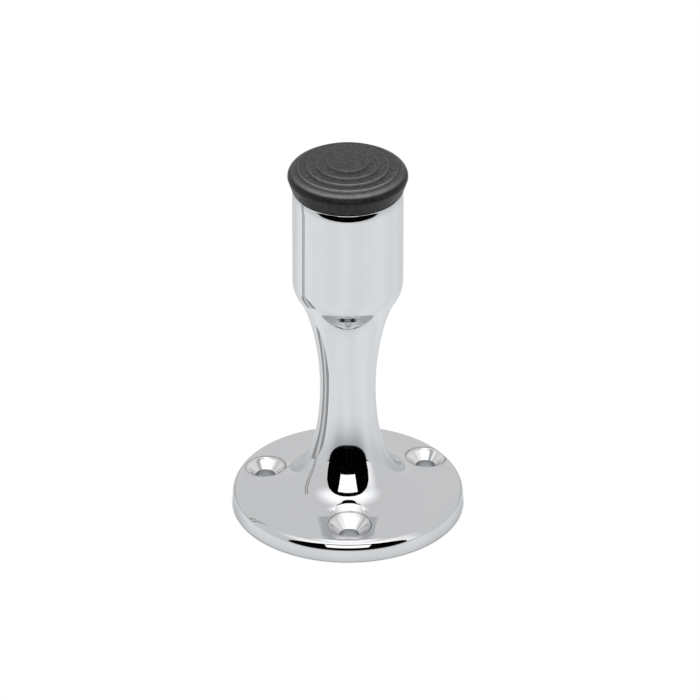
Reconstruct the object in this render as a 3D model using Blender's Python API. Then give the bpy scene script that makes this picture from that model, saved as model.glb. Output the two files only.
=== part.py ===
"""Pedestal door holder: a chromed casting with a pushed-in rubber buffer.

Frame: origin at the centre of the flange's underside, +Z up the column towards the buffer.
Everything below is in millimetres and is turned into metres when a mesh is made.
"""

import math

import bmesh
import bpy

MM = 0.001
TURN_STEPS = 60
BOSS_SIDES = 40
HOLE_SIDES = 36

# Flange: a thick disc whose top face rises gently towards the column.
FLANGE_RADIUS = 30.0
FLANGE_SIDE_HEIGHT = 3.0
FLANGE_EDGE_ROUND = 2.8
FLANGE_SLOPE_DEG = 3.7
FLANGE_FOOT_CHAMFER = 0.25
FLARE_FOOT_RADIUS = 19.5

# Column: a waisted trumpet shape between the flange and the cup.
NECK_RADIUS = 7.2
NECK_HEIGHT = 35.4
FLARE_FOOT_PULL = 6.3
FLARE_NECK_PULL = 20.5
THROAT_NECK_PULL = 10.3
THROAT_SHOULDER_PULL = 5.5
SHOULDER_ANGLE_DEG = 33.0
SHOULDER_ROUND = 9.1
SHOULDER_HEIGHT = 67.0

# Cup: the straight cylinder that holds the buffer.
CUP_RADIUS = 14.2
LIP_HEIGHT = 92.95
LIP_ROUND = 0.3
LIP_TAPER_DEG = 15.0
LIP_TAPER_ROUND = 8.7
SOCKET_RADIUS = 12.0
SOCKET_LEDGE_HEIGHT = 80.7
WELL_RADIUS = 11.0
WELL_FLOOR_RADIUS = 8.0
WELL_FLOOR_HEIGHT = 66.0
WELL_TAPER_TOP_HEIGHT = 74.7

# Core: the tapered hollow that a casting of this thickness has from below.
CORE_TOP_HEIGHT = 58.0
CORE_TOP_RADIUS = 3.0
CORE_NECK_RADIUS = 4.2
CORE_MOUTH_RADIUS = 7.0
CORE_MOUTH_HEIGHT = 8.0
CORE_FOOT_RADIUS = 8.5

# Underside pocket: it leaves a rim, three screw bosses and three ribs standing on the floor.
POCKET_INNER_RADIUS = 11.0
POCKET_OUTER_RADIUS = 27.4
POCKET_DEPTH = 2.4
POCKET_CUT_BELOW = 1.0
BOSS_RADIUS = 6.8
RIB_WIDTH = 2.0
RIB_OVERRUN = 2.0

# Screw holes: azimuth from +X, distance from the axis and countersink radius at the face.
SCREW_HOLES = {
    "front": (-89.0, 21.4, 5.4),
    "right": (31.0, 23.7, 5.0),
    "left": (161.0, 22.8, 5.0),
}
SCREW_HOLE_RADIUS = 2.5
COUNTERSINK_SHOULDER = 0.3
HOLE_OVERRUN = 4.0

# Buffer: a mushroom of black rubber with stepped rings on its face and a hollow plug below.
SEAT_GAP = 0.3
PLUG_GAP = 0.3
BUFFER_RADIUS = 15.35
BUFFER_WIDEST_HEIGHT = 96.8
BUFFER_EDGE_ROUND = 2.4
BUFFER_FOOT_RADIUS = 14.35
BUFFER_FOOT_ROUND = 0.6
RING_RADII = (5.4, 8.1, 10.6, 12.9)
RING_STEP = 0.5
RING_EDGE = 0.2
PLUG_TAPER = 0.3
PLUG_FOOT_CHAMFER = 0.8
PLUG_CORE_RADIUS = 7.5
PLUG_CORE_TOP_RADIUS = 6.5
PLUG_CORE_TOP_HEIGHT = 95.5


def arc(centre_r, centre_z, radius, start_deg, end_deg, steps):
    """Points of an arc in the r-z plane; angles are measured from +r towards +z."""
    points = []
    for step in range(steps + 1):
        angle = math.radians(start_deg + (end_deg - start_deg) * step / steps)
        points.append((centre_r + radius * math.cos(angle), centre_z + radius * math.sin(angle)))
    return points


def bezier(start, pull_start, pull_end, end, steps):
    """Points of a cubic curve in the r-z plane."""
    points = []
    for step in range(steps + 1):
        t = step / steps
        weights = ((1 - t) ** 3, 3 * t * (1 - t) ** 2, 3 * t * t * (1 - t), t**3)
        corners = (start, pull_start, pull_end, end)
        r = sum(weight * corner[0] for weight, corner in zip(weights, corners))
        z = sum(weight * corner[1] for weight, corner in zip(weights, corners))
        points.append((r, z))
    return points


def without_repeats(points):
    """The outline with points that lie on the one before them left out."""
    kept = [points[0]]
    for point in points[1:]:
        if math.dist(point, kept[-1]) > 1e-4:
            kept.append(point)
    return kept


def turned(name, outline):
    """A solid of revolution about Z; its outline starts and ends on the axis."""
    mesh = bpy.data.meshes.new(name)
    vertices = [(r * MM, 0.0, z * MM) for r, z in without_repeats(outline)]
    edges = [(index, index + 1) for index in range(len(vertices) - 1)]
    mesh.from_pydata(vertices, edges, [])
    solid = bpy.data.objects.new(name, mesh)
    bpy.context.collection.objects.link(solid)
    screw = solid.modifiers.new("turn", "SCREW")
    screw.steps = TURN_STEPS
    screw.render_steps = TURN_STEPS
    screw.use_merge_vertices = True
    screw.merge_threshold = 1e-6
    screw.use_smooth_shade = True
    return solid


def cutter(name, build):
    """A hidden solid made by build(bmesh), used only by Booleans."""
    shape = bmesh.new()
    build(shape)
    bmesh.ops.recalc_face_normals(shape, faces=shape.faces)
    mesh = bpy.data.meshes.new(name)
    shape.to_mesh(mesh)
    shape.free()
    tool = bpy.data.objects.new(name, mesh)
    bpy.context.collection.objects.link(tool)
    tool.hide_render = True
    tool.display_type = "WIRE"
    return tool


def stack(shape, rings, x=0.0, y=0.0, sides=TURN_STEPS):
    """Adds a closed round solid with a vertical axis through (x, y); rings are (radius, z) upwards."""
    loops = []
    for radius, z in rings:
        loop = []
        for side in range(sides):
            angle = math.tau * side / sides
            place = (x + radius * math.cos(angle), y + radius * math.sin(angle), z)
            loop.append(shape.verts.new([value * MM for value in place]))
        loops.append(loop)
    shape.faces.new(loops[0][::-1])
    shape.faces.new(loops[-1])
    for low, high in zip(loops, loops[1:]):
        for side in range(sides):
            following = (side + 1) % sides
            shape.faces.new((low[side], low[following], high[following], high[side]))


def boolean(solid, tool, name):
    cut = solid.modifiers.new(name, "BOOLEAN")
    cut.operation = "DIFFERENCE"
    cut.solver = "EXACT"
    cut.object = tool


def material(name, colour, roughness, metallic):
    made = bpy.data.materials.new(name)
    made.use_nodes = True
    shader = made.node_tree.nodes["Principled BSDF"]
    shader.inputs["Base Color"].default_value = (*colour, 1.0)
    shader.inputs["Roughness"].default_value = roughness
    shader.inputs["Metallic"].default_value = metallic
    return made


def hole_centre(azimuth_deg, distance):
    azimuth = math.radians(azimuth_deg)
    return distance * math.cos(azimuth), distance * math.sin(azimuth)


def flange_top(r):
    """Height of the flange's sloping top face at distance r from the axis."""
    slope = math.tan(math.radians(FLANGE_SLOPE_DEG))
    edge_angle = math.radians(90 - FLANGE_SLOPE_DEG)
    edge_r = FLANGE_RADIUS - FLANGE_EDGE_ROUND * (1 - math.cos(edge_angle))
    edge_z = FLANGE_SIDE_HEIGHT + FLANGE_EDGE_ROUND * math.sin(edge_angle)
    return edge_z + (edge_r - r) * slope


def column_outline():
    """The trumpet from the shoulder of the cup down to the foot of the flare."""
    shoulder = arc(
        CUP_RADIUS - SHOULDER_ROUND, SHOULDER_HEIGHT, SHOULDER_ROUND, 0, -SHOULDER_ANGLE_DEG, 6
    )
    end_r, end_z = shoulder[-1]
    lean = math.radians(SHOULDER_ANGLE_DEG)
    throat = bezier(
        (end_r, end_z),
        (end_r - THROAT_SHOULDER_PULL * math.sin(lean), end_z - THROAT_SHOULDER_PULL * math.cos(lean)),
        (NECK_RADIUS, NECK_HEIGHT + THROAT_NECK_PULL),
        (NECK_RADIUS, NECK_HEIGHT),
        9,
    )
    foot = (FLARE_FOOT_RADIUS, flange_top(FLARE_FOOT_RADIUS))
    foot_pull_r = FLARE_FOOT_RADIUS - FLARE_FOOT_PULL
    flare = bezier(
        (NECK_RADIUS, NECK_HEIGHT),
        (NECK_RADIUS, NECK_HEIGHT - FLARE_NECK_PULL),
        (foot_pull_r, flange_top(foot_pull_r)),
        foot,
        12,
    )
    return shoulder + throat + flare


def lip_outline():
    """The cup draws in gently towards its rim, which is rounded over."""
    lean = math.radians(LIP_TAPER_DEG)
    taper_r = CUP_RADIUS - LIP_TAPER_ROUND
    taper_z = LIP_HEIGHT - LIP_ROUND - (LIP_TAPER_ROUND - LIP_ROUND) * math.sin(lean)
    rim_r = taper_r + (LIP_TAPER_ROUND - LIP_ROUND) * math.cos(lean)
    rim = arc(rim_r, LIP_HEIGHT - LIP_ROUND, LIP_ROUND, 90, LIP_TAPER_DEG, 3)
    return rim + arc(taper_r, taper_z, LIP_TAPER_ROUND, LIP_TAPER_DEG, 0, 4)


def pedestal_outline():
    """From the floor of the cup, over the lip, down the outside and up the core."""
    well = [
        (0.0, WELL_FLOOR_HEIGHT),
        (WELL_FLOOR_RADIUS, WELL_FLOOR_HEIGHT),
        (WELL_RADIUS, WELL_TAPER_TOP_HEIGHT),
        (WELL_RADIUS, SOCKET_LEDGE_HEIGHT),
        (SOCKET_RADIUS, SOCKET_LEDGE_HEIGHT),
        (SOCKET_RADIUS, LIP_HEIGHT),
    ]
    edge = arc(
        FLANGE_RADIUS - FLANGE_EDGE_ROUND,
        FLANGE_SIDE_HEIGHT,
        FLANGE_EDGE_ROUND,
        90 - FLANGE_SLOPE_DEG,
        0,
        5,
    )
    foot = [
        (FLANGE_RADIUS, FLANGE_FOOT_CHAMFER),
        (FLANGE_RADIUS - FLANGE_FOOT_CHAMFER, 0.0),
        (CORE_FOOT_RADIUS, 0.0),
        (CORE_MOUTH_RADIUS, CORE_MOUTH_HEIGHT),
        (CORE_NECK_RADIUS, NECK_HEIGHT),
        (CORE_TOP_RADIUS, CORE_TOP_HEIGHT),
        (0.0, CORE_TOP_HEIGHT),
    ]
    return well + lip_outline() + column_outline() + edge + foot


def underside_pocket():
    """The hollow under the flange, with the bosses and ribs already taken out of it."""

    def ring(shape):
        stack(shape, [(POCKET_OUTER_RADIUS, -POCKET_CUT_BELOW), (POCKET_OUTER_RADIUS, POCKET_DEPTH)])

    def hub(shape):
        low, high = -2 * POCKET_CUT_BELOW, POCKET_DEPTH + POCKET_CUT_BELOW
        stack(shape, [(POCKET_INNER_RADIUS, low), (POCKET_INNER_RADIUS, high)])

    pocket = cutter("pocket_tool", ring)
    boolean(pocket, cutter("pocket_hub_tool", hub), "hub")
    azimuths = sorted(azimuth for azimuth, _, _ in SCREW_HOLES.values())
    for index, azimuth in enumerate(azimuths):
        following = azimuths[(index + 1) % len(azimuths)]
        between = azimuth + ((following - azimuth) % 360) / 2
        boolean(pocket, rib_tool(index, between), f"rib_{index}")
    for side, (azimuth, distance, _) in SCREW_HOLES.items():
        boolean(pocket, boss_tool(side, azimuth, distance), f"boss_{side}")
    return pocket


def rib_tool(index, azimuth_deg):
    """A radial bar that leaves one rib standing in the pocket."""

    def bar(shape):
        made = bmesh.ops.create_cube(shape, size=MM)
        length = POCKET_OUTER_RADIUS - POCKET_INNER_RADIUS + 2 * RIB_OVERRUN
        height = POCKET_DEPTH + 4 * POCKET_CUT_BELOW
        bmesh.ops.scale(shape, vec=(length, RIB_WIDTH, height), verts=made["verts"])
        middle = (POCKET_OUTER_RADIUS + POCKET_INNER_RADIUS) / 2
        bmesh.ops.translate(shape, vec=(middle * MM, 0, POCKET_DEPTH / 2 * MM), verts=made["verts"])

    tool = cutter(f"rib_{index}_tool", bar)
    tool.rotation_euler.z = math.radians(azimuth_deg)
    return tool


def boss_tool(side, azimuth_deg, distance):
    """A plug that leaves one screw boss standing in the pocket."""
    x, y = hole_centre(azimuth_deg, distance)

    def plug(shape):
        low, high = -3 * POCKET_CUT_BELOW, POCKET_DEPTH + 2 * POCKET_CUT_BELOW
        stack(shape, [(BOSS_RADIUS, low), (BOSS_RADIUS, high)], x, y, BOSS_SIDES)

    return cutter(f"boss_{side}_tool", plug)


def screw_hole_tool(side, azimuth_deg, distance, rim_radius):
    """A drill with a 90 degree countersink; a straight shoulder clears the foot of the flare."""
    x, y = hole_centre(azimuth_deg, distance)
    face = flange_top(distance)
    outer_radius = rim_radius + COUNTERSINK_SHOULDER
    rings = [
        (SCREW_HOLE_RADIUS, -HOLE_OVERRUN),
        (SCREW_HOLE_RADIUS, face - rim_radius + SCREW_HOLE_RADIUS),
        (outer_radius, face + COUNTERSINK_SHOULDER),
        (outer_radius, face + HOLE_OVERRUN),
    ]
    return cutter(f"hole_{side}_tool", lambda shape: stack(shape, rings, x, y, HOLE_SIDES))


def pedestal_casting():
    solid = turned("pedestal_casting", pedestal_outline())
    for side, (azimuth, distance, rim_radius) in SCREW_HOLES.items():
        boolean(solid, screw_hole_tool(side, azimuth, distance, rim_radius), f"hole_{side}")
    boolean(solid, underside_pocket(), "pocket")
    solid.data.materials.append(material("polished_chrome", (0.78, 0.79, 0.80), 0.04, 1.0))
    return solid


def face_outline():
    """The buffer's striking face: a stack of thin discs, highest in the middle."""
    rim_height = BUFFER_WIDEST_HEIGHT + BUFFER_EDGE_ROUND
    count = len(RING_RADII)
    points = [(0.0, rim_height + count * RING_STEP)]
    for index, radius in enumerate(RING_RADII):
        height = rim_height + (count - index) * RING_STEP
        points.append((radius - RING_EDGE, height))
        points.append((radius, height - RING_EDGE))
        points.append((radius, height - RING_STEP))
    return points


def buffer_outline():
    """From the middle of the face, round the edge, down the plug and up its core."""
    edge = arc(
        BUFFER_RADIUS - BUFFER_EDGE_ROUND, BUFFER_WIDEST_HEIGHT, BUFFER_EDGE_ROUND, 90, 0, 6
    )
    foot_z = LIP_HEIGHT + SEAT_GAP
    foot = arc(
        BUFFER_FOOT_RADIUS - BUFFER_FOOT_ROUND,
        foot_z + BUFFER_FOOT_ROUND,
        BUFFER_FOOT_ROUND,
        0,
        -90,
        4,
    )
    plug_radius = SOCKET_RADIUS - PLUG_GAP
    plug_foot_z = SOCKET_LEDGE_HEIGHT + SEAT_GAP
    plug = [
        (plug_radius, foot_z),
        (plug_radius - PLUG_TAPER, plug_foot_z + PLUG_FOOT_CHAMFER),
        (plug_radius - PLUG_TAPER - PLUG_FOOT_CHAMFER, plug_foot_z),
        (PLUG_CORE_RADIUS, plug_foot_z),
        (PLUG_CORE_TOP_RADIUS, PLUG_CORE_TOP_HEIGHT),
        (0.0, PLUG_CORE_TOP_HEIGHT),
    ]
    return face_outline() + edge + foot + plug


def rubber_buffer():
    solid = turned("rubber_buffer", buffer_outline())
    solid.data.materials.append(material("black_rubber", (0.035, 0.036, 0.037), 0.45, 0.0))
    return solid


def clear_scene():
    for thing in list(bpy.data.objects):
        bpy.data.objects.remove(thing, do_unlink=True)


def main():
    clear_scene()
    pedestal_casting()
    rubber_buffer()


main()
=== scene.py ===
"""Looks of the pedestal door holder: a polished chrome casting and its black rubber buffer.

The frame's CAD solids are replaced by fine meshes of the same shape. Meshes are worked out in
millimetres, with a normal for every face corner, and turned into metres when they are made.
"""

import math

import bpy
import numpy as np
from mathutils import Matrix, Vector
from mathutils.geometry import delaunay_2d_cdt


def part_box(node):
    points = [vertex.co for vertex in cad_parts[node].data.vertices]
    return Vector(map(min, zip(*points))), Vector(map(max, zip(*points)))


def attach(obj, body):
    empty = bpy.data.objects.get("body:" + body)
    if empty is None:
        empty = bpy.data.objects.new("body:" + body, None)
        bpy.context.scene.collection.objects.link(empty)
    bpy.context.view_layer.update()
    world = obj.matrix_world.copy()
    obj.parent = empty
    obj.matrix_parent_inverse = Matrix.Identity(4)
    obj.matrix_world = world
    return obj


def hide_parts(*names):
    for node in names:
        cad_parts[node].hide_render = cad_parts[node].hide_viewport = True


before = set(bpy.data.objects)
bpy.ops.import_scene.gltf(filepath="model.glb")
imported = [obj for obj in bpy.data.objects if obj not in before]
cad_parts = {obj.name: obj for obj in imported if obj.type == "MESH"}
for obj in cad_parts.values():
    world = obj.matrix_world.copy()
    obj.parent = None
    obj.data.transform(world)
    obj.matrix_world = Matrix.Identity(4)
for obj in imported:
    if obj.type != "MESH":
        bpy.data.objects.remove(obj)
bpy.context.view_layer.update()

MM = 0.001

# Sizes read from the frame, in millimetres, as all sizes of the object are.
PEDESTAL_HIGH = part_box("pedestal_casting")[1]
BUFFER_LOW, BUFFER_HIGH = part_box("rubber_buffer")
FLANGE_RADIUS = PEDESTAL_HIGH.x / MM
LIP_HEIGHT = PEDESTAL_HIGH.z / MM
BUFFER_RADIUS = BUFFER_HIGH.x / MM
BUFFER_TOP = BUFFER_HIGH.z / MM
PLUG_FOOT = BUFFER_LOW.z / MM

# Flange.
FLANGE_SIDE_HEIGHT = 3.0
FLANGE_EDGE_ROUND = 2.8
FLANGE_SLOPE_DEG = 3.7
FLANGE_FOOT_CHAMFER = 0.25
FLARE_FOOT_RADIUS = 19.5

# Column. A pull is the length of a curve's handle.
NECK_RADIUS = 7.2
NECK_HEIGHT = 35.4
FLARE_FOOT_PULL = 6.3
FLARE_NECK_PULL = 20.5
THROAT_NECK_PULL = 10.3
THROAT_SHOULDER_PULL = 5.5
SHOULDER_ANGLE_DEG = 33.0
SHOULDER_ROUND = 9.1
SHOULDER_HEIGHT = 67.0

# Cup, with the socket that the buffer's plug sits in.
CUP_RADIUS = 14.2
LIP_ROUND = 0.3
LIP_TAPER_DEG = 15.0
LIP_TAPER_ROUND = 8.7
SOCKET_RADIUS = 12.0
SOCKET_LEDGE_HEIGHT = 80.7
WELL_RADIUS = 11.0
WELL_FLOOR_RADIUS = 8.0
WELL_FLOOR_HEIGHT = 66.0
WELL_TAPER = 6.0

# Underside: rim, bosses and ribs stand on the floor, the core is open below.
CORE_TOP_HEIGHT = 58.0
CORE_TOP_RADIUS = 3.0
CORE_NECK_RADIUS = 4.2
CORE_MOUTH_RADIUS = 7.0
CORE_MOUTH_HEIGHT = 8.0
CORE_FOOT_RADIUS = 8.5
POCKET_INNER_RADIUS = 11.0
POCKET_OUTER_RADIUS = 27.4
POCKET_DEPTH = 2.4
BOSS_RADIUS = 6.8
RIB_WIDTH = 2.0
RIB_OVERRUN = 1.0

# Screw holes: azimuth in degrees from +X, distance from the axis, countersink radius at the face.
SCREW_HOLES = ((-89.0, 21.4, 5.4), (31.0, 23.7, 5.0), (161.0, 22.8, 5.0))
SCREW_HOLE_RADIUS = 2.5
RIM_SOFTNESS = 0.55
TOOL_CLEARANCE = 1.9
TOOL_WALL_SLOPE = 5.0

# Buffer.
BUFFER_WIDEST_HEIGHT = 96.8
BUFFER_EDGE_ROUND = 2.4
SEAT_GAP = 0.3
BUFFER_FOOT_RADIUS = 14.35
BUFFER_FOOT_ROUND = 0.6
RING_RADII = (5.4, 8.1, 10.6, 12.9)
RING_STEP = 0.5
RING_ROUND = 0.2
RING_FILLET = 0.12
PLUG_RADIUS = 11.7
PLUG_TAPER = 0.3
PLUG_FOOT_CHAMFER = 0.8
PLUG_CORE_RADIUS = 7.5
PLUG_CORE_TOP_RADIUS = 6.5
PLUG_CORE_TOP_HEIGHT = 95.5

# Fineness of the meshes: sides of a circle, pieces of each curved stroke, and the grid on which
# points that coincide become one.
TURN_SIDES = 240
HOLE_SIDES = 96
BUFFER_SIDES = 192
LIP_STEPS = 8
LIP_TAPER_STEPS = 10
SHOULDER_STEPS = 20
THROAT_STEPS = 40
FLARE_STEPS = 60
FLANGE_EDGE_STEPS = 10
BUFFER_EDGE_STEPS = 16
BUFFER_FOOT_STEPS = 8
RING_ROUND_STEPS = 5
RING_FILLET_STEPS = 4
SNAPS_PER_MM = 10000

# Place of the unpolished finish among a piece's finishes; the first, 0, is the one seen outside.
UNPOLISHED = 1

# The part of the top that the holes break into is meshed as one height field. It ends at an angle
# on the flange's rounded edge, and the profile that it is read from runs past that. Slopes are
# measured one SLOPE_STEP either way, and FIELD_SLACK stops rounding from dropping border triangles.
FIELD_INNER_RADIUS = 11.0
FIELD_OUTER_DEG = 35.0
FIELD_RADIAL_STEP = 0.45
FIELD_EDGE_STEPS = 14
FIELD_BORDER_GAP = 0.2
FIELD_SLACK = 0.001
SLOPE_STEP = 0.01
PROFILE_PAST_DEG = 5
PROFILE_FLARE_STEPS = 3000
PROFILE_EDGE_STEPS = 400
FLARE_HALVINGS = 50

# Round each hole the field's points lie on rings of the hole's own, closest over the rounded rim.
HOLE_PATCH_MARGIN = 2.6
HOLE_PATCH_GAP = 0.1
HOLE_CONE_STEP = 0.3
HOLE_RIM_STEP = 0.15
HOLE_RIM_ZONE = 1.2

# Chrome plating. Noise scales are in waves per metre; a pair is a lowest and a highest value.
CHROME_DARKER = (0.622, 0.630, 0.642)
CHROME_LIGHTER = (0.652, 0.656, 0.664)
CHROME_TINT_SCALE = 60.0
CHROME_ROUGHNESS = (0.02, 0.05)
CHROME_ROUGHNESS_SCALE = 400.0
CHROME_WAVE_DEPTH = 0.01
CHROME_WAVE_SCALE = 150.0
CHROME_GRAIN_DEPTH = 0.0003
CHROME_GRAIN_SCALE = 1500.0

# Painted light at the holes: a line of painted shade round each, and painted reflection streaks on the
# cutter's marks inside.
# Their noise runs round the hole, in waves per radian.
# Painted shade line round each countersink's rim.
RIM_SHADE_OFFSET = 0.25
RIM_SHADE_HALF_WIDTH = 0.32
RIM_SHADE_SHARE = 0.85
RIM_SHADE_FAINTEST = 0.35
RIM_SHADE_SCALE = 1.5
RIM_SHADE_TINT = (0.05, 0.05, 0.055)
# Inside the holes: grey streaks of painted reflection on the cutter's relief, over a face painted
# brighter.
STREAK_EDGE = 0.8
STREAK_REFLECTION_SHARE = 0.45
STREAK_DEPTH = 0.02
STREAK_SCALE = 4.0
STREAK_REFLECTION_TINT = (0.20, 0.205, 0.21)
# The countersinks' faces are painted brighter, a painted reflection.
BRIGHT_REFLECTION_SHARE = 0.85
BRIGHT_REFLECTION_TINT = (0.98, 0.98, 0.99)

# Unpolished plating.
CASTING_DARKER = (0.42, 0.43, 0.44)
CASTING_LIGHTER = (0.56, 0.57, 0.58)
CASTING_TINT_SCALE = 300.0
CASTING_ROUGHNESS = (0.28, 0.45)
CASTING_ROUGHNESS_SCALE = 800.0
CASTING_GRAIN_DEPTH = 0.012
CASTING_GRAIN_SCALE = 1400.0

# Rubber.
RUBBER_DARKER = (0.005, 0.005, 0.005)
RUBBER_LIGHTER = (0.018, 0.019, 0.019)
RUBBER_TINT_SCALE = 1200.0
RUBBER_SPECULAR = 0.18
RUBBER_ROUGHNESS = (0.32, 0.46)
RUBBER_ROUGHNESS_SCALE = 700.0
RUBBER_GRAIN_DEPTH = 0.01
RUBBER_GRAIN_SCALE = 5000.0
RUBBER_WAVE_DEPTH = 0.03
RUBBER_WAVE_SCALE = 400.0

# Dust and painted sheen on the striking face; painted highlights on its rings' edges and the head's rim.
FACE_RIM_HEIGHT = 98.75
FACE_RIM_HALF_WIDTH = 0.55
# Dust on the striking face, which also lightens the top as a painted sheen.
DUST_AND_SHEEN_MOST = 0.75
DUST_AND_SHEEN_SCALE = 1100.0
DUST_AND_SHEEN_TINT = (0.098, 0.100, 0.099)
# Painted highlights on the ring edges and the head's rim, strongest in front.
EDGE_HIGHLIGHT_OFFSET = 0.12
EDGE_HIGHLIGHT_HALF_WIDTH = 0.28
EDGE_HIGHLIGHT_RIM_SHARE = 0.7
EDGE_HIGHLIGHT_BACK_SHARE = 0.12
EDGE_HIGHLIGHT_LEAST = 0.65
EDGE_HIGHLIGHT_SCALE = 900.0
EDGE_HIGHLIGHT_TINT = (0.34, 0.34, 0.345)

# Camera. Places and lengths of the camera and the studio are in metres.
CAMERA_PLACE = (0.00056, -1.4339, 0.8907)
CAMERA_PITCH_DEG = 59.489
CAMERA_LENS_MM = 332.5
CAMERA_SENSOR_MM = 36.0
CAMERA_CLIP = (0.01, 20.0)

# Floor as the camera sees it: white, with a contact shadow. An opening is a share of what is above
# the floor, at or below which the shadow is at its darkest.
FLOOR_HALF = 3.0
OPENING_SAMPLES = 8
CONTACT_REACH = 0.0005
CONTACT_OPENING = 0.3
CONTACT_LEVEL = 0.25

# Floor as the chrome mirrors it. Pairs are the ends of ramps over the direction from the floor back
# to the mirror: over its Z for FLOOR_STEEP, else over its Y, which is positive in front of the object.
# The dark zone ahead reaches that direction's X and Z in DARK_ZONE_WIDTH and DARK_ZONE_HEIGHT.
# Corners of the dark floor nearest to the camera are a half width and a y.
FLOOR_STEEP = (0.12, 0.45)
FLOOR_FRONT = (0.35, 0.85)
FLOOR_BACK = (-0.85, -0.35)
FLOOR_NEAR_LEVEL = 1.04
FLOOR_SIDE_LEVEL = 0.84
FLOOR_FAR_LEVEL = 0.50
FLOOR_BACK_SHARE = 0.78
FLOOR_TINT = (0.985, 1.005, 1.020)
SHADE_REACH = 0.010
SHADE_OPENING = 0.4
SHADE_LEVEL = 0.72
DARK_ZONE_WIDTH = 0.84
DARK_ZONE_HEIGHT = 0.18
DARK_ZONE_EDGE = (0.96, 1.04)
DARK_ZONE_TURN = (-0.05, 0.05)
DARK_FLOOR = ((3.0, -3.0), (0.95, -0.45), (0.35, -0.28))
DARK_FLOOR_HEIGHT = 0.001
# Painted reflection bands in the floor's brightness, set by the mirror's direction.
REFLECTION_BAND_SCALE = 1.6
REFLECTION_BAND_LEVEL = (0.96, 1.04)

# Tent. Pairs are the ends of ramps over the direction away from the object: over its Z for the
# roof's edges, over its X for SIDE_LIGHT_RIGHT and over its Y for the other two. Corners of the
# opening are a half width and a z.
TENT_FRONT = -0.60
TENT_OPENING = ((0.88, -0.10), (0.90, 0.15), (0.82, 0.35), (0.64, 0.55), (0.40, 0.68), (0.20, 0.72))
WALL_LEVEL = 0.83
ROOF_LEVEL = 1.6
ROOF_BACK = (0.95, 0.998)
ROOF_FRONT = (0.45, 0.75)
ROOF_TURN = (-0.55, 0.0)
SIDE_LIGHT_LEVEL = 1.4
SIDE_LIGHT_RIGHT = (0.55, 0.80)
SIDE_LIGHT_FRONT = (-0.60, -0.20)

# Softbox, lowest and highest edge as y and z.
SOFTBOX_LOW = (-0.58, 0.165)
SOFTBOX_HIGH = (-0.44, 0.40)
SOFTBOX_HALF = 0.20
SOFTBOX_LEVEL = 1.6

# Zip of the tent: distances from the object, and half widths there as shares of the distance.
ZIP_AZIMUTH_DEG = 169.0
ZIP_DISTANCES = (0.0545, 0.085, 0.115, 1.0)
ZIP_TOP = 0.9
ZIP_EDGE_SHARES = (0.36, 0.28, 0.064, 0.064)
ZIP_EDGE_HEIGHT = 0.0015
ZIP_EDGE_LEVEL = 0.40
ZIP_MIDDLE_SHARES = (0.12, 0.09, 0.020, 0.020)
ZIP_MIDDLE_HEIGHT = 0.0020
ZIP_MIDDLE_LEVEL = 0.80

# Node trees. Mix nodes have inputs and outputs of the same names for every kind, so these are numbers
# of the first input, the second and the output.
WHITE = (1.0, 1.0, 1.0)
DARK = 0.0
FLATTEN = (1.0, 1.0, 0.0)
NOISE_RANGE = (0.3, 0.7)
MIX_SOCKETS = {"FLOAT": (2, 3, 0), "RGBA": (6, 7, 2)}


def placed(name, data):
    made = bpy.data.objects.new(name, data)
    bpy.context.scene.collection.objects.link(made)
    return made


class Skin:
    """Faces with a normal at each corner; points that coincide become one vertex."""

    def __init__(self):
        self.points = []
        self.index = {}
        self.faces = []
        self.normals = []
        self.finishes = []

    def vertex(self, point):
        key = tuple(round(value * SNAPS_PER_MM) for value in point)
        if key not in self.index:
            self.index[key] = len(self.points)
            self.points.append(point)
        return self.index[key]

    def face(self, points, normals, finish=0):
        corners, kept = [], []
        for point, normal in zip(points, normals):
            corner = self.vertex(point)
            if corner not in corners:
                corners.append(corner)
                kept.append(normal)
        if len(corners) > 2:
            self.faces.append(corners)
            self.normals.extend(kept)
            self.finishes.append(finish)

    def flat_face(self, points, finish=0):
        a, b, c = (Vector(point) for point in points[:3])
        normal = (b - a).cross(c - a).normalized()
        self.face(points, [tuple(normal)] * len(points), finish)

    def make(self, name, finishes):
        mesh = bpy.data.meshes.new(name)
        scaled = [tuple(value * MM for value in point) for point in self.points]
        mesh.from_pydata(scaled, [], self.faces, shade_flat=False)
        for finish in finishes:
            mesh.materials.append(finish)
        mesh.polygons.foreach_set("material_index", self.finishes)
        mesh.normals_split_custom_set(self.normals)
        return placed(name, mesh)


def circle(x, y, radius, sides):
    places = []
    for side in range(sides):
        angle = math.tau * side / sides
        places.append((x + radius * math.cos(angle), y + radius * math.sin(angle)))
    return places


def line(start, end):
    """A straight stroke of an outline: (r, z, normal r, normal z) at each point."""
    length = math.dist(start, end)
    normal = ((start[1] - end[1]) / length, (end[0] - start[0]) / length)
    return [(*start, *normal), (*end, *normal)]


def lines(*points):
    return [line(start, end) for start, end in zip(points, points[1:])]


def arc(centre_r, centre_z, radius, start_deg, end_deg, steps, hollow=False):
    """A round stroke; angles are measured from +r towards +z."""
    stroke = []
    side = -1 if hollow else 1
    for step in range(steps + 1):
        angle = math.radians(start_deg + (end_deg - start_deg) * step / steps)
        r, z = math.cos(angle), math.sin(angle)
        stroke.append((centre_r + radius * r, centre_z + radius * z, side * r, side * z))
    return stroke


def bezier(corners, steps, end=1.0):
    """A cubic stroke from its first corner to the curve parameter `end`."""
    places = np.array(corners, float)
    stroke = []
    for step in range(steps + 1):
        t = end * step / steps
        s = 1 - t
        r, z = np.array([s**3, 3 * t * s * s, 3 * t * t * s, t**3]) @ places
        along = np.array([s * s, 2 * t * s, t * t]) @ np.diff(places, axis=0)
        length = math.hypot(*along)
        stroke.append((float(r), float(z), -along[1] / length, along[0] / length))
    return stroke


def turned(r, z, spoke):
    """A point or a normal of an outline, swung round the axis to a spoke."""
    return r * spoke[0], r * spoke[1], z


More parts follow.
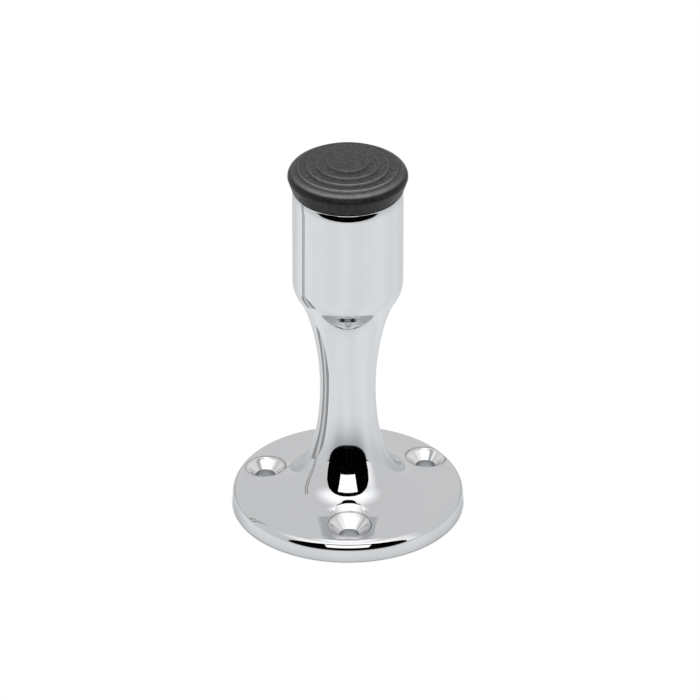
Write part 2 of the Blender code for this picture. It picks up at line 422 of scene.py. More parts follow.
def turn(skin, strokes, sides, finish=0):
    """Revolves strokes about Z. They follow the section with the solid on their right."""
    spokes = circle(0, 0, 1, sides)
    for stroke in strokes:
        for start, end in zip(stroke, stroke[1:]):
            for side in range(sides):
                this, following = spokes[side], spokes[(side + 1) % sides]
                corners = ((end, this), (end, following), (start, following), (start, this))
                points = [turned(r, z, spoke) for (r, z, _, _), spoke in corners]
                normals = [turned(r, z, spoke) for (_, _, r, z), spoke in corners]
                skin.face(points, normals, finish)


def hole_centre(azimuth_deg, distance):
    azimuth = math.radians(azimuth_deg)
    return distance * math.cos(azimuth), distance * math.sin(azimuth)


def flange_top(r):
    """Height of the flange's sloping face at distance r from the axis."""
    slope = math.tan(math.radians(FLANGE_SLOPE_DEG))
    upright = math.radians(90 - FLANGE_SLOPE_DEG)
    edge_r = FLANGE_RADIUS - FLANGE_EDGE_ROUND * (1 - math.cos(upright))
    edge_z = FLANGE_SIDE_HEIGHT + FLANGE_EDGE_ROUND * math.sin(upright)
    return edge_z + (edge_r - r) * slope


def flare_corners():
    pull_r = FLARE_FOOT_RADIUS - FLARE_FOOT_PULL
    return (
        (NECK_RADIUS, NECK_HEIGHT),
        (NECK_RADIUS, NECK_HEIGHT - FLARE_NECK_PULL),
        (pull_r, flange_top(pull_r)),
        (FLARE_FOOT_RADIUS, flange_top(FLARE_FOOT_RADIUS)),
    )


def edge_arc(start_deg, end_deg, steps):
    centre_r = FLANGE_RADIUS - FLANGE_EDGE_ROUND
    return arc(centre_r, FLANGE_SIDE_HEIGHT, FLANGE_EDGE_ROUND, start_deg, end_deg, steps)


def field_profile():
    """Radius and height along the top, from the neck down the flare to the flange's rounded edge."""
    flare = bezier(flare_corners(), PROFILE_FLARE_STEPS)
    end_deg = FIELD_OUTER_DEG - PROFILE_PAST_DEG
    edge = edge_arc(90 - FLANGE_SLOPE_DEG, end_deg, PROFILE_EDGE_STEPS)
    return np.array([point[:2] for point in flare + edge]).T


PROFILE_R, PROFILE_Z = field_profile()


def soft_minimum(first, second, softness):
    share = np.clip(0.5 + 0.5 * (second - first) / softness, 0, 1)
    return second + (first - second) * share - softness * share * (1 - share)


def field_height(x, y):
    """Height of the top with the countersinks sunk into it, their rims rounded over."""
    height = np.interp(np.hypot(x, y), PROFILE_R, PROFILE_Z)
    for azimuth, distance, rim in SCREW_HOLES:
        hole_x, hole_y = hole_centre(azimuth, distance)
        away = np.hypot(x - hole_x, y - hole_y)
        beyond = np.maximum(away - rim - TOOL_CLEARANCE, 0)
        cone = flange_top(distance) - rim + away + TOOL_WALL_SLOPE * beyond
        height = soft_minimum(height, cone, RIM_SOFTNESS)
    return height


def field_normals(x, y):
    step = SLOPE_STEP
    slope_x = (field_height(x + step, y) - field_height(x - step, y)) / (2 * step)
    slope_y = (field_height(x, y + step) - field_height(x, y - step)) / (2 * step)
    normals = np.stack([-slope_x, -slope_y, np.ones_like(x)], axis=1)
    return normals / np.linalg.norm(normals, axis=1, keepdims=True)


def field_rings():
    """Radii of the height field's rings, closer together where the profile bends."""
    centre_r = FLANGE_RADIUS - FLANGE_EDGE_ROUND
    flat_end = centre_r + FLANGE_EDGE_ROUND * math.sin(math.radians(FLANGE_SLOPE_DEG))
    width = flat_end - FIELD_INNER_RADIUS
    count = math.ceil(width / FIELD_RADIAL_STEP)
    radii = [FIELD_INNER_RADIUS + width * ring / count for ring in range(count)]
    edge = edge_arc(90 - FLANGE_SLOPE_DEG, FIELD_OUTER_DEG, FIELD_EDGE_STEPS)
    return radii + [point[0] for point in edge]


def hole_ring_radii(rim):
    """Radii round a hole: even steps down the cone, close ones over the rounded rim."""
    cone = np.arange(SCREW_HOLE_RADIUS, rim - HOLE_RIM_ZONE, HOLE_CONE_STEP)
    edge = np.arange(cone[-1] + HOLE_RIM_STEP, rim + HOLE_PATCH_MARGIN, HOLE_RIM_STEP)
    return np.concatenate([cone, edge])


def clear_of_holes(place):
    return all(
        math.dist(place, hole_centre(azimuth, distance)) > rim + HOLE_PATCH_MARGIN + HOLE_PATCH_GAP
        for azimuth, distance, rim in SCREW_HOLES
    )


def field_points():
    """Places of the height field's vertices seen from above."""
    radii = field_rings()
    inner, outer = radii[0], radii[-1]
    places = []
    for radius in radii:
        ring = circle(0, 0, radius, TURN_SIDES)
        places += [place for place in ring if radius in (inner, outer) or clear_of_holes(place)]
    for azimuth, distance, rim in SCREW_HOLES:
        for radius in hole_ring_radii(rim):
            ring = circle(*hole_centre(azimuth, distance), radius, HOLE_SIDES)
            places += [
                place
                for place in ring
                if inner + FIELD_BORDER_GAP < math.hypot(*place) < outer - FIELD_BORDER_GAP
            ]
    return places


def triangulated(places, edges):
    """Delaunay triangles over the places, facing up, with the places' own numbers kept exact."""
    found = delaunay_2d_cdt([Vector(place) for place in places], edges, [], 0, 1 / SNAPS_PER_MM)
    exact = []
    for place, sources in zip(found[0], found[3]):
        exact.append(places[sources[0]] if sources else tuple(place))
    triangles = []
    for a, b, c in found[2]:
        (ax, ay), (bx, by), (cx, cy) = exact[a], exact[b], exact[c]
        area = (bx - ax) * (cy - ay) - (cx - ax) * (by - ay)
        triangles.append((a, b, c) if area > 0 else (a, c, b))
    return exact, triangles


def middle(places, triangle):
    return tuple(sum(places[corner][axis] for corner in triangle) / 3 for axis in range(2))


def in_any_hole(place, radius=SCREW_HOLE_RADIUS):
    return any(
        math.dist(place, hole_centre(azimuth, distance)) < radius
        for azimuth, distance, _ in SCREW_HOLES
    )


def flange_face(skin):
    """The flange's top with the foot of the flare and the three countersinks."""
    places, triangles = triangulated(field_points(), [])
    x, y = np.array(places).T
    heights = field_height(x, y)
    normals = field_normals(x, y)
    for triangle in triangles:
        centre = middle(places, triangle)
        within = math.hypot(*centre) < FIELD_INNER_RADIUS - FIELD_SLACK
        if within or in_any_hole(centre, SCREW_HOLE_RADIUS - FIELD_SLACK):
            continue
        points = [(*places[corner], float(heights[corner])) for corner in triangle]
        skin.face(points, [tuple(normals[corner]) for corner in triangle])


def drilled_walls(skin):
    """The straight walls of the holes, from the countersinks down to the underside."""
    for azimuth, distance, _ in SCREW_HOLES:
        x, y = hole_centre(azimuth, distance)
        ring = np.array(circle(x, y, SCREW_HOLE_RADIUS, HOLE_SIDES))
        heights = field_height(*ring.T)
        inward = (np.array([x, y]) - ring) / SCREW_HOLE_RADIUS
        for side in range(HOLE_SIDES):
            following = (side + 1) % HOLE_SIDES
            corners = (side, following, following, side)
            levels = (heights[side], heights[following], 0.0, 0.0)
            points = [(*ring[corner], level) for corner, level in zip(corners, levels)]
            skin.face(points, [(*inward[corner], 0.0) for corner in corners], UNPOLISHED)


def rib_spokes():
    """Directions of the ribs, halfway between the holes, as the cosine and sine of their azimuths."""
    azimuths = sorted(azimuth for azimuth, _, _ in SCREW_HOLES)
    spokes = []
    for first, second in zip(azimuths, azimuths[1:] + [azimuths[0] + 360]):
        azimuth = math.radians((first + second) / 2)
        spokes.append((math.cos(azimuth), math.sin(azimuth)))
    return spokes


def on_a_rib(x, y):
    return any(
        x * cosine + y * sine > 0 and abs(y * cosine - x * sine) < RIB_WIDTH / 2
        for cosine, sine in rib_spokes()
    )


def in_pocket(place):
    if not POCKET_INNER_RADIUS < math.hypot(*place) < POCKET_OUTER_RADIUS:
        return False
    return not in_any_hole(place, BOSS_RADIUS) and not on_a_rib(*place)


def rib_lines():
    """Ends of the straight sides of the ribs."""
    ends = []
    for cosine, sine in rib_spokes():
        for side in (-RIB_WIDTH / 2, RIB_WIDTH / 2):
            for r in (POCKET_INNER_RADIUS - RIB_OVERRUN, POCKET_OUTER_RADIUS + RIB_OVERRUN):
                ends.append((r * cosine - side * sine, r * sine + side * cosine))
    return ends


def underside_outlines():
    """Places and edges of the underside: its circles, those round the holes, and the ribs' sides."""
    foot_radius = FLANGE_RADIUS - FLANGE_FOOT_CHAMFER
    radii = (foot_radius, CORE_FOOT_RADIUS, POCKET_INNER_RADIUS, POCKET_OUTER_RADIUS)
    rings = [circle(0, 0, radius, TURN_SIDES) for radius in radii]
    for azimuth, distance, _ in SCREW_HOLES:
        for radius in (SCREW_HOLE_RADIUS, BOSS_RADIUS):
            rings.append(circle(*hole_centre(azimuth, distance), radius, HOLE_SIDES))
    places, edges = [], []
    for ring in rings:
        first = len(places)
        places += ring
        edges += [(first + side, first + (side + 1) % len(ring)) for side in range(len(ring))]
    first = len(places)
    places += rib_lines()
    edges += [(corner, corner + 1) for corner in range(first, len(places), 2)]
    return places, edges


def underside(skin):
    """The face that stands on the floor, and the pocket sunk into it."""
    places, triangles = triangulated(*underside_outlines())
    sides = {}
    for triangle in triangles:
        centre = middle(places, triangle)
        if math.hypot(*centre) < CORE_FOOT_RADIUS or in_any_hole(centre):
            continue
        sunk = in_pocket(centre)
        height = POCKET_DEPTH if sunk else 0.0
        a, b, c = triangle
        skin.flat_face([(*places[corner], height) for corner in (c, b, a)], UNPOLISHED)
        for start, end in ((a, b), (b, c), (c, a)):
            sides[start, end] = sunk
    for (start, end), sunk in sides.items():
        if sunk and sides.get((end, start)) is False:
            low = [(*places[corner], 0.0) for corner in (start, end)]
            high = [(*places[corner], POCKET_DEPTH) for corner in (end, start)]
            skin.flat_face(low + high, UNPOLISHED)


def lip_centres():
    """Centres of the lip's rounding and of the gentle taper below it, as r, r and z."""
    lean = math.radians(LIP_TAPER_DEG)
    taper_r = CUP_RADIUS - LIP_TAPER_ROUND
    taper_z = LIP_HEIGHT - LIP_ROUND - (LIP_TAPER_ROUND - LIP_ROUND) * math.sin(lean)
    return taper_r + (LIP_TAPER_ROUND - LIP_ROUND) * math.cos(lean), taper_r, taper_z


def flare_share(radius):
    """The curve parameter at which the flare reaches a radius."""
    low, high = 0.0, 1.0
    for _ in range(FLARE_HALVINGS):
        half = (low + high) / 2
        if bezier(flare_corners(), 1, half)[-1][0] < radius:
            low = half
        else:
            high = half
    return low


def flare_stroke():
    """The flare down to where the height field starts, ending at the field's own height."""
    stroke = bezier(flare_corners(), FLARE_STEPS, flare_share(FIELD_INNER_RADIUS))
    end_z = float(np.interp(FIELD_INNER_RADIUS, PROFILE_R, PROFILE_Z))
    return stroke[:-1] + [(FIELD_INNER_RADIUS, end_z, *stroke[-1][2:])]


def column_strokes():
    """The outside from the lip down to where the height field starts."""
    lip_r, taper_r, taper_z = lip_centres()
    lip = arc(lip_r, LIP_HEIGHT - LIP_ROUND, LIP_ROUND, 90, LIP_TAPER_DEG, LIP_STEPS)
    taper = arc(taper_r, taper_z, LIP_TAPER_ROUND, LIP_TAPER_DEG, 0, LIP_TAPER_STEPS)
    cup = line((CUP_RADIUS, taper_z), (CUP_RADIUS, SHOULDER_HEIGHT))
    shoulder_r = CUP_RADIUS - SHOULDER_ROUND
    shoulder = arc(
        shoulder_r, SHOULDER_HEIGHT, SHOULDER_ROUND, 0, -SHOULDER_ANGLE_DEG, SHOULDER_STEPS
    )
    end_r, end_z = shoulder[-1][:2]
    lean = math.radians(SHOULDER_ANGLE_DEG)
    pull = (
        end_r - THROAT_SHOULDER_PULL * math.sin(lean),
        end_z - THROAT_SHOULDER_PULL * math.cos(lean),
    )
    neck_pull = (NECK_RADIUS, NECK_HEIGHT + THROAT_NECK_PULL)
    throat = bezier(((end_r, end_z), pull, neck_pull, (NECK_RADIUS, NECK_HEIGHT)), THROAT_STEPS)
    return [lip, taper, cup, shoulder, throat, flare_stroke()]


def pedestal(finishes):
    skin = Skin()
    socket = lines(
        (0.0, WELL_FLOOR_HEIGHT),
        (WELL_FLOOR_RADIUS, WELL_FLOOR_HEIGHT),
        (WELL_RADIUS, SOCKET_LEDGE_HEIGHT - WELL_TAPER),
        (WELL_RADIUS, SOCKET_LEDGE_HEIGHT),
        (SOCKET_RADIUS, SOCKET_LEDGE_HEIGHT),
        (SOCKET_RADIUS, LIP_HEIGHT),
        (lip_centres()[0], LIP_HEIGHT),
    )
    turn(skin, socket, TURN_SIDES, UNPOLISHED)
    turn(skin, column_strokes(), TURN_SIDES)
    flange_face(skin)
    edge = edge_arc(FIELD_OUTER_DEG, 0, FLANGE_EDGE_STEPS)
    side_and_foot = lines(
        (FLANGE_RADIUS, FLANGE_SIDE_HEIGHT),
        (FLANGE_RADIUS, FLANGE_FOOT_CHAMFER),
        (FLANGE_RADIUS - FLANGE_FOOT_CHAMFER, 0.0),
    )
    turn(skin, [edge] + side_and_foot, TURN_SIDES)
    underside(skin)
    drilled_walls(skin)
    core = lines(
        (CORE_FOOT_RADIUS, 0.0),
        (CORE_MOUTH_RADIUS, CORE_MOUTH_HEIGHT),
        (CORE_NECK_RADIUS, NECK_HEIGHT),
        (CORE_TOP_RADIUS, CORE_TOP_HEIGHT),
        (0.0, CORE_TOP_HEIGHT),
    )
    turn(skin, core, TURN_SIDES, UNPOLISHED)
    return skin.make("chrome_pedestal", finishes)


def ring_strokes():
    """The stepped rings of the striking face, highest in the middle."""
    strokes = []
    start = 0.0
    for index, radius in enumerate(RING_RADII):
        height = BUFFER_TOP - index * RING_STEP
        foot = height - RING_STEP
        round_r, round_z = radius - RING_ROUND, height - RING_ROUND
        fillet_r, fillet_z = radius + RING_FILLET, foot + RING_FILLET
        strokes.append(line((start, height), (round_r, height)))
        strokes.append(arc(round_r, round_z, RING_ROUND, 90, 0, RING_ROUND_STEPS))
        strokes.append(line((radius, round_z), (radius, fillet_z)))
        strokes.append(arc(fillet_r, fillet_z, RING_FILLET, 180, 270, RING_FILLET_STEPS, hollow=True))
        start = fillet_r
    rim_height = BUFFER_TOP - len(RING_RADII) * RING_STEP
    strokes.append(line((start, rim_height), (BUFFER_RADIUS - BUFFER_EDGE_ROUND, rim_height)))
    return strokes


def buffer(finishes):
    skin = Skin()
    edge_r = BUFFER_RADIUS - BUFFER_EDGE_ROUND
    edge = arc(edge_r, BUFFER_WIDEST_HEIGHT, BUFFER_EDGE_ROUND, 90, 0, BUFFER_EDGE_STEPS)
    seat_z = LIP_HEIGHT + SEAT_GAP
    foot_r, foot_z = BUFFER_FOOT_RADIUS - BUFFER_FOOT_ROUND, seat_z + BUFFER_FOOT_ROUND
    side = line((BUFFER_RADIUS, BUFFER_WIDEST_HEIGHT), (BUFFER_FOOT_RADIUS, foot_z))
    foot = arc(foot_r, foot_z, BUFFER_FOOT_ROUND, 0, -90, BUFFER_FOOT_STEPS)
    below = lines(
        (foot_r, seat_z),
        (PLUG_RADIUS, seat_z),
        (PLUG_RADIUS - PLUG_TAPER, PLUG_FOOT + PLUG_FOOT_CHAMFER),
        (PLUG_RADIUS - PLUG_TAPER - PLUG_FOOT_CHAMFER, PLUG_FOOT),
        (PLUG_CORE_RADIUS, PLUG_FOOT),
        (PLUG_CORE_TOP_RADIUS, PLUG_CORE_TOP_HEIGHT),
        (0.0, PLUG_CORE_TOP_HEIGHT),
    )
    turn(skin, ring_strokes() + [edge, side, foot] + below, BUFFER_SIDES)
    return skin.make("rubber_cap", finishes)


class Tree:
    """Short names for building a tree of shader nodes."""

    def __init__(self, tree):
        self.tree = tree

    def feed(self, value, socket):
        """Links a socket, or sets a number, a vector or a colour."""
        if isinstance(value, bpy.types.NodeSocket):
            self.tree.links.new(value, socket)
        elif socket.type == "RGBA":
            socket.default_value = (*value, 1.0)
        else:
            socket.default_value = value

    def fill(self, node, **values):
        """Sets up a node. A capitalised name is an input, with _ for a space; any other is a property."""
        for name, value in values.items():
            if name[0].isupper():
                self.feed(value, node.inputs[name.replace("_", " ")])
            else:
                setattr(node, name, value)
        return node

    def add(self, kind, **values):
        return self.fill(self.tree.nodes.new("ShaderNode" + kind), **values)

    def compute(self, operation, first, second=0.0):
        node = self.add("Math", operation=operation)
        self.feed(first, node.inputs[0])
        self.feed(second, node.inputs[1])
        return node.outputs["Value"]

    def product(self, first, second):
        return self.compute("MULTIPLY", first, second)

    def vector(self, operation, first, second=(0.0, 0.0, 0.0)):
        node = self.add("VectorMath", operation=operation)
        self.feed(first, node.inputs[0])
        self.feed(second, node.inputs[1])
        return node.outputs["Value" if operation == "LENGTH" else "Vector"]

    def axes(self, vector):
        """The X, Y and Z of a vector."""
        return self.add("SeparateXYZ", Vector=vector).outputs

    def ramp(self, value, start, end, low, high, interpolation="SMOOTHSTEP"):
        """Low up to the start, high from the end on."""
        node = self.add("MapRange", interpolation_type=interpolation, Value=value)
        self.fill(node, From_Min=start, From_Max=end, To_Min=low, To_Max=high)
        return node.outputs["Result"]

    def spread(self, noise, low, high):
        """Maps the usual range of a noise onto low to high."""
        return self.ramp(noise, *NOISE_RANGE, low, high, "LINEAR")

    def mix(self, share, first, second, kind="RGBA"):
        node = self.add("Mix", data_type=kind, Factor=share)
        first_input, second_input, output = MIX_SOCKETS[kind]
        self.feed(first, node.inputs[first_input])
        self.feed(second, node.inputs[second_input])
        return node.outputs[output]

    def blend(self, share, first, second):
        """Mixes two numbers."""
        return self.mix(share, first, second, "FLOAT")

    def noise_at(self, place, scale, detail=3.0, roughness=0.5):
        node = self.add("TexNoise", Vector=place, Scale=scale, Detail=detail, Roughness=roughness)
        return node.outputs["Fac"]

    def openness(self, reach):
        """1 in the open, less where something stands within reach."""
        return self.add("AmbientOcclusion", samples=OPENING_SAMPLES, Distance=reach).outputs["AO"]

    def mirrored(self):
        """1 for a ray that left a mirror, 0 for one from the camera."""
        return self.add("LightPath").outputs["Is Glossy Ray"]


class Surface(Tree):
    """The node tree of a new material round its Principled shader."""

    def __init__(self, name):
        self.material = bpy.data.materials.new(name)
        self.material.use_nodes = True
        super().__init__(self.material.node_tree)
        self.place = self.add("TexCoord").outputs["Object"]

    def shade(self, **values):
        """Sets up the Principled shader and gives back the material."""
        self.fill(self.tree.nodes["Principled BSDF"], **values)
        return self.material

    def noise(self, scale, **settings):
        return self.noise_at(self.place, scale, **settings)

    def across(self, x, y):
        """The direction, and the length in metres, of the level offset from an upright axis at x, y."""
        offset = self.vector("SUBTRACT", self.place, (x * MM, y * MM, 0.0))
        level = self.vector("MULTIPLY", offset, FLATTEN)
        return self.vector("NORMALIZE", level), self.vector("LENGTH", level)

    def fade(self, length, start, end):
        """1 up to the start, 0 from the end on, both in millimetres."""
        return self.ramp(length, start * MM, end * MM, 1.0, 0.0)

    def band(self, length, centre, half_width):
        """1 at a distance in millimetres, 0 from half_width either side of it on."""
        away = self.compute("ABSOLUTE", self.compute("SUBTRACT", length, centre * MM))
        return self.fade(away, 0.0, half_width)

    def bump(self, height, depth, below=None):
        """A normal for relief of a depth in millimetres, on top of the one below."""
        node = self.add("Bump", Strength=1.0, Distance=depth * MM, Height=height)
        if below is not None:
            self.feed(below, node.inputs["Normal"])
        return node.outputs["Normal"]


def painted_hole_light(nodes):
    """Masks: painted shade round each countersink, painted reflection streaking on the cutter's marks
    inside, and its whole face.
    """
    rim_shade_lines = streaks_and_reflections = brightened_face = 0.0
    for azimuth, distance, rim in SCREW_HOLES:
        direction, length = nodes.across(*hole_centre(azimuth, distance))
        # A painted shade line just outside the rim.
        rim_shade_line = nodes.band(length, rim + RIM_SHADE_OFFSET, RIM_SHADE_HALF_WIDTH)
        uneven = nodes.noise_at(direction, RIM_SHADE_SCALE, detail=2.0)
        rim_shade_line = nodes.product(rim_shade_line, nodes.spread(uneven, RIM_SHADE_FAINTEST, 1.0))
        inside = nodes.fade(length, rim - STREAK_EDGE, rim)
        # Streaking inside: painted reflection in the colour, the cutter's relief in the bump.
        streaky = nodes.noise_at(direction, STREAK_SCALE, detail=2.0, roughness=0.6)
        streak_and_reflection = nodes.product(inside, nodes.spread(streaky, 0.0, 1.0))
        rim_shade_lines = nodes.compute("MAXIMUM", rim_shade_lines, rim_shade_line)
        streaks_and_reflections = nodes.compute("MAXIMUM", streaks_and_reflections, streak_and_reflection)
        # The whole face, painted brighter as reflection.
        brightened_face = nodes.compute("MAXIMUM", brightened_face, inside)
    return rim_shade_lines, streaks_and_reflections, brightened_face


def polished_chrome():
    """Bright plating: a clean mirror, faintly wavy from polishing, with painted shade and reflections at
    the screw holes.
    """
    nodes = Surface("polished_chrome")
    rim_shade_lines, streaks_and_reflections, brightened_face = painted_hole_light(nodes)
    tint = nodes.mix(nodes.noise(CHROME_TINT_SCALE), CHROME_DARKER, CHROME_LIGHTER)
    # Countersinks painted brighter, a painted reflection.
    tint = nodes.mix(nodes.product(brightened_face, BRIGHT_REFLECTION_SHARE), tint, BRIGHT_REFLECTION_TINT)
    # Painted reflection streaks inside the holes.
    tint = nodes.mix(nodes.product(streaks_and_reflections, STREAK_REFLECTION_SHARE), tint, STREAK_REFLECTION_TINT)
    # Painted shade round each hole's rim.
    tint = nodes.mix(nodes.product(rim_shade_lines, RIM_SHADE_SHARE), tint, RIM_SHADE_TINT)
    roughness = nodes.spread(nodes.noise(CHROME_ROUGHNESS_SCALE, detail=5.0), *CHROME_ROUGHNESS)
    wavy = nodes.bump(nodes.noise(CHROME_WAVE_SCALE, detail=1.0), CHROME_WAVE_DEPTH)
    scored = nodes.bump(streaks_and_reflections, STREAK_DEPTH, wavy)
    grained = nodes.bump(nodes.noise(CHROME_GRAIN_SCALE, detail=2.0), CHROME_GRAIN_DEPTH, scored)
    return nodes.shade(Base_Color=tint, Metallic=1.0, Roughness=roughness, Normal=grained)


def plated_casting():
    """Unpolished plating inside and below, with the grain of the casting."""
    nodes = Surface("plated_casting")
    tint = nodes.mix(nodes.noise(CASTING_TINT_SCALE, detail=4.0), CASTING_DARKER, CASTING_LIGHTER)
    roughness = nodes.spread(nodes.noise(CASTING_ROUGHNESS_SCALE, detail=4.0), *CASTING_ROUGHNESS)
    grain = nodes.noise(CASTING_GRAIN_SCALE, detail=5.0, roughness=0.65)
    grained = nodes.bump(grain, CASTING_GRAIN_DEPTH)
    return nodes.shade(Base_Color=tint, Metallic=1.0, Roughness=roughness, Normal=grained)


def painted_edge_highlights(nodes):
    """Mask of painted highlights on the rings' edges and the head's rounded rim, in patches, most in
    front.
    """
    place = nodes.axes(nodes.place)
    rim = nodes.band(place["Z"], FACE_RIM_HEIGHT, FACE_RIM_HALF_WIDTH)
    edge_highlight = nodes.product(rim, EDGE_HIGHLIGHT_RIM_SHARE)
    length = nodes.across(0.0, 0.0)[1]
    for radius in RING_RADII:
        ring = nodes.band(length, radius - EDGE_HIGHLIGHT_OFFSET, EDGE_HIGHLIGHT_HALF_WIDTH)
        edge_highlight = nodes.compute("MAXIMUM", edge_highlight, ring)
    # The painted highlights fade towards the back.
    in_front = nodes.ramp(place["Y"], -BUFFER_RADIUS * MM, 0.0, 1.0, EDGE_HIGHLIGHT_BACK_SHARE)
    patches = nodes.spread(nodes.noise(EDGE_HIGHLIGHT_SCALE), EDGE_HIGHLIGHT_LEAST, 1.0)
    return nodes.product(edge_highlight, nodes.product(in_front, patches))


def dust_and_sheen(nodes):
    """Mask of fine specks on the striking face: a dusting, and a painted sheen that lightens the top."""
    low = (FACE_RIM_HEIGHT - FACE_RIM_HALF_WIDTH) * MM
    high = (FACE_RIM_HEIGHT + FACE_RIM_HALF_WIDTH) * MM
    # Only the top is lightened: dust, and painted sheen.
    above = nodes.ramp(nodes.axes(nodes.place)["Z"], low, high, 0.0, 1.0)
    specks = nodes.noise(DUST_AND_SHEEN_SCALE, detail=6.0, roughness=0.75)
    return nodes.product(above, nodes.spread(specks, 0.0, DUST_AND_SHEEN_MOST))


def black_rubber():
    """Moulded rubber: satin, with a fine grain, greyer patches, a dusting with painted sheen and painted
    edge highlights.
    """
    nodes = Surface("black_rubber")
    patches = nodes.spread(nodes.noise(RUBBER_TINT_SCALE, detail=5.0), 0.0, 1.0)
    tint = nodes.mix(patches, RUBBER_DARKER, RUBBER_LIGHTER)
    # Dust on the top, also a painted sheen.
    tint = nodes.mix(dust_and_sheen(nodes), tint, DUST_AND_SHEEN_TINT)
    # Painted highlights on the ring edges and the rim.
    tint = nodes.mix(painted_edge_highlights(nodes), tint, EDGE_HIGHLIGHT_TINT)
    roughness = nodes.spread(nodes.noise(RUBBER_ROUGHNESS_SCALE, detail=5.0), *RUBBER_ROUGHNESS)
    grained = nodes.bump(nodes.noise(RUBBER_GRAIN_SCALE), RUBBER_GRAIN_DEPTH)
    wavy = nodes.bump(nodes.noise(RUBBER_WAVE_SCALE, detail=2.0), RUBBER_WAVE_DEPTH, grained)
    return nodes.shade(
        Base_Color=tint, Specular_IOR_Level=RUBBER_SPECULAR, Roughness=roughness, Normal=wavy
    )


def glow(name):
    """A material with nothing but emission: its tree and the emission to be set up."""
    material = bpy.data.materials.new(name)
    material.use_nodes = True
    material.node_tree.nodes.clear()
    nodes = Tree(material.node_tree)
    return material, nodes, nodes.add("Emission")


def sheet(name, corners, material):
    """A studio object with one flat face."""
    mesh = bpy.data.meshes.new(name)
    mesh.from_pydata(corners, [], [tuple(range(len(corners)))])
    mesh.materials.append(material)
    made = placed(name, mesh)
    return made


def panel(name, corners, level):
    """A studio panel that shows only in reflections."""
    material, nodes, emission = glow(name)
    nodes.fill(emission, Color=WHITE, Strength=level)
    nodes.add("OutputMaterial", Surface=emission.outputs["Emission"])
    made = sheet(name, corners, material)
    made.visible_camera = False
    made.visible_diffuse = False
    made.visible_shadow = False
    made.visible_transmission = False


def reflection_bands(nodes, direction):
    """Soft lighter and darker bands of painted reflection, set by the direction back to the mirror."""
    bands = nodes.noise_at(nodes.vector("MULTIPLY", direction, FLATTEN), REFLECTION_BAND_SCALE, detail=0.0)
    return nodes.ramp(bands, *NOISE_RANGE, *REFLECTION_BAND_LEVEL)


def outside_dark_zone(nodes, direction):
    """0 for floor in the blunt-cornered dark zone ahead of the object, 1 elsewhere."""
    squeeze = (1 / DARK_ZONE_WIDTH, 0.0, 1 / DARK_ZONE_HEIGHT)
    squeezed = nodes.vector("MULTIPLY", direction, squeeze)
    squared = nodes.vector("MULTIPLY", squeezed, squeezed)
    outside = nodes.ramp(nodes.vector("LENGTH", squared), *DARK_ZONE_EDGE, 0.0, 1.0)
    turned_away = nodes.ramp(nodes.axes(direction)["Y"], *DARK_ZONE_TURN, 1.0, 0.0)
    return nodes.blend(turned_away, outside, 1.0)


def mirrored_floor(nodes, direction):
    """Brightness in reflections, by the direction from the floor back to the mirror."""
    toward = nodes.axes(direction)
    steep = nodes.ramp(toward["Z"], *FLOOR_STEEP, 0.0, 1.0)
    far = nodes.ramp(toward["Y"], *FLOOR_FRONT, FLOOR_SIDE_LEVEL, FLOOR_FAR_LEVEL)
    shaded = SHADE_LEVEL * FLOOR_NEAR_LEVEL
    near = nodes.ramp(nodes.openness(SHADE_REACH), SHADE_OPENING, 1.0, shaded, FLOOR_NEAR_LEVEL)
    # Painted reflection bands over the mirrored floor.
    level = nodes.product(nodes.blend(steep, far, near), reflection_bands(nodes, direction))
    behind = nodes.ramp(toward["Y"], *FLOOR_BACK, FLOOR_BACK_SHARE, 1.0)
    return nodes.product(nodes.product(level, behind), outside_dark_zone(nodes, direction))


def floor():
    """A white sweep with a soft contact shadow. Seen from below it is clear."""
    material, nodes, emission = glow("floor")
    geometry = nodes.add("NewGeometry")
    contact = nodes.openness(CONTACT_REACH)
    seen = nodes.ramp(contact, CONTACT_OPENING, 1.0, CONTACT_LEVEL, 1.0)
    mirrored = nodes.mirrored()
    strength = nodes.blend(mirrored, seen, mirrored_floor(nodes, geometry.outputs["Incoming"]))
    nodes.fill(emission, Color=nodes.mix(mirrored, WHITE, FLOOR_TINT), Strength=strength)
    sides = nodes.add("MixShader", Fac=geometry.outputs["Backfacing"])
    nodes.feed(emission.outputs["Emission"], sides.inputs[1])
    nodes.feed(nodes.add("BsdfTransparent").outputs["BSDF"], sides.inputs[2])
    nodes.add("OutputMaterial", Surface=sides.outputs["Shader"])
    half = FLOOR_HALF
    sheet("floor", [(-half, -half, 0), (half, -half, 0), (half, half, 0), (-half, half, 0)], material)


def tent():
    """A light tent all round: white to the camera, in reflections grey walls and a bright roof."""
    world = bpy.data.worlds.new("tent")
    bpy.context.scene.world = world
    world.use_nodes = True
    nodes = Tree(world.node_tree)
    away = nodes.axes(nodes.add("TexCoord").outputs["Generated"])
    back = nodes.ramp(away["Z"], *ROOF_BACK, 0.0, 1.0)
    front = nodes.ramp(away["Z"], *ROOF_FRONT, 0.0, 1.0)
    facing = nodes.ramp(away["Y"], *ROOF_TURN, 1.0, 0.0)
    right = nodes.ramp(away["X"], *SIDE_LIGHT_RIGHT, 0.0, 1.0)
    side_light = nodes.product(right, nodes.ramp(away["Y"], *SIDE_LIGHT_FRONT, 1.0, 0.0))
    wall = nodes.blend(side_light, WALL_LEVEL, SIDE_LIGHT_LEVEL)
    level = nodes.blend(nodes.blend(facing, back, front), wall, ROOF_LEVEL)
    strength = nodes.blend(nodes.mirrored(), 1.0, level)
    nodes.fill(world.node_tree.nodes["Background"], Color=WHITE, Strength=strength)


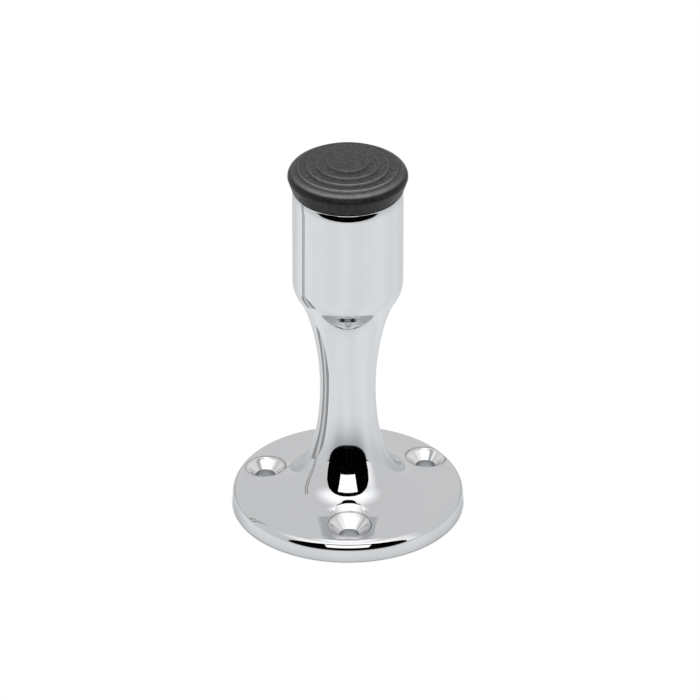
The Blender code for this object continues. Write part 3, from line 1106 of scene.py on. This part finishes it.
def zip_strip(name, shares, height, level):
    """A strip that lies on the floor, points away from the object and runs up the far wall."""
    azimuth = math.radians(ZIP_AZIMUTH_DEG)
    along_x, along_y = math.cos(azimuth), math.sin(azimuth)
    stations = [(distance, share, height) for distance, share in zip(ZIP_DISTANCES, shares)]
    stations.append((ZIP_DISTANCES[-1], shares[-1], ZIP_TOP))
    for number, (start, end) in enumerate(zip(stations, stations[1:])):
        corners = []
        for (distance, share, z), side in ((start, -1), (start, 1), (end, 1), (end, -1)):
            half = side * share * distance
            near = distance - height  # the higher of two strips is in front on the far wall too
            corners.append((near * along_x - half * along_y, near * along_y + half * along_x, z))
        panel(f"{name}_{number}", corners, level)


def both_sides(half):
    """An outline whose left half is the mirror image of the right one."""
    return half + [(-x, y, z) for x, y, z in reversed(half)]


def studio():
    """What the chrome mirrors: the tent's dark open front, a leaning softbox and a zip at the left."""
    floor()
    tent()
    opening = both_sides([(half, TENT_FRONT, height) for half, height in TENT_OPENING])
    panel("front_opening", opening, DARK)
    dark_floor = both_sides([(half, y, DARK_FLOOR_HEIGHT) for half, y in DARK_FLOOR])
    panel("dark_floor", dark_floor, DARK)
    softbox = both_sides([(SOFTBOX_HALF, *edge) for edge in (SOFTBOX_LOW, SOFTBOX_HIGH)])
    panel("softbox", softbox, SOFTBOX_LEVEL)
    zip_strip("zip_edges", ZIP_EDGE_SHARES, ZIP_EDGE_HEIGHT, ZIP_EDGE_LEVEL)
    zip_strip("zip_middle", ZIP_MIDDLE_SHARES, ZIP_MIDDLE_HEIGHT, ZIP_MIDDLE_LEVEL)


def camera():
    data = bpy.data.cameras.new("camera")
    data.lens = CAMERA_LENS_MM
    data.sensor_width = CAMERA_SENSOR_MM
    data.clip_start, data.clip_end = CAMERA_CLIP
    made = placed("camera", data)
    made.location = CAMERA_PLACE
    made.rotation_euler = (math.radians(CAMERA_PITCH_DEG), 0.0, 0.0)
    bpy.context.scene.camera = made


body = pedestal([polished_chrome(), plated_casting()])
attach(body, "pedestal")
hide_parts("pedestal_casting")

cap = buffer([black_rubber()])
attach(cap, "buffer")
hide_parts("rubber_buffer")

studio()
camera()
bpy.context.scene.view_settings.view_transform = "Standard"
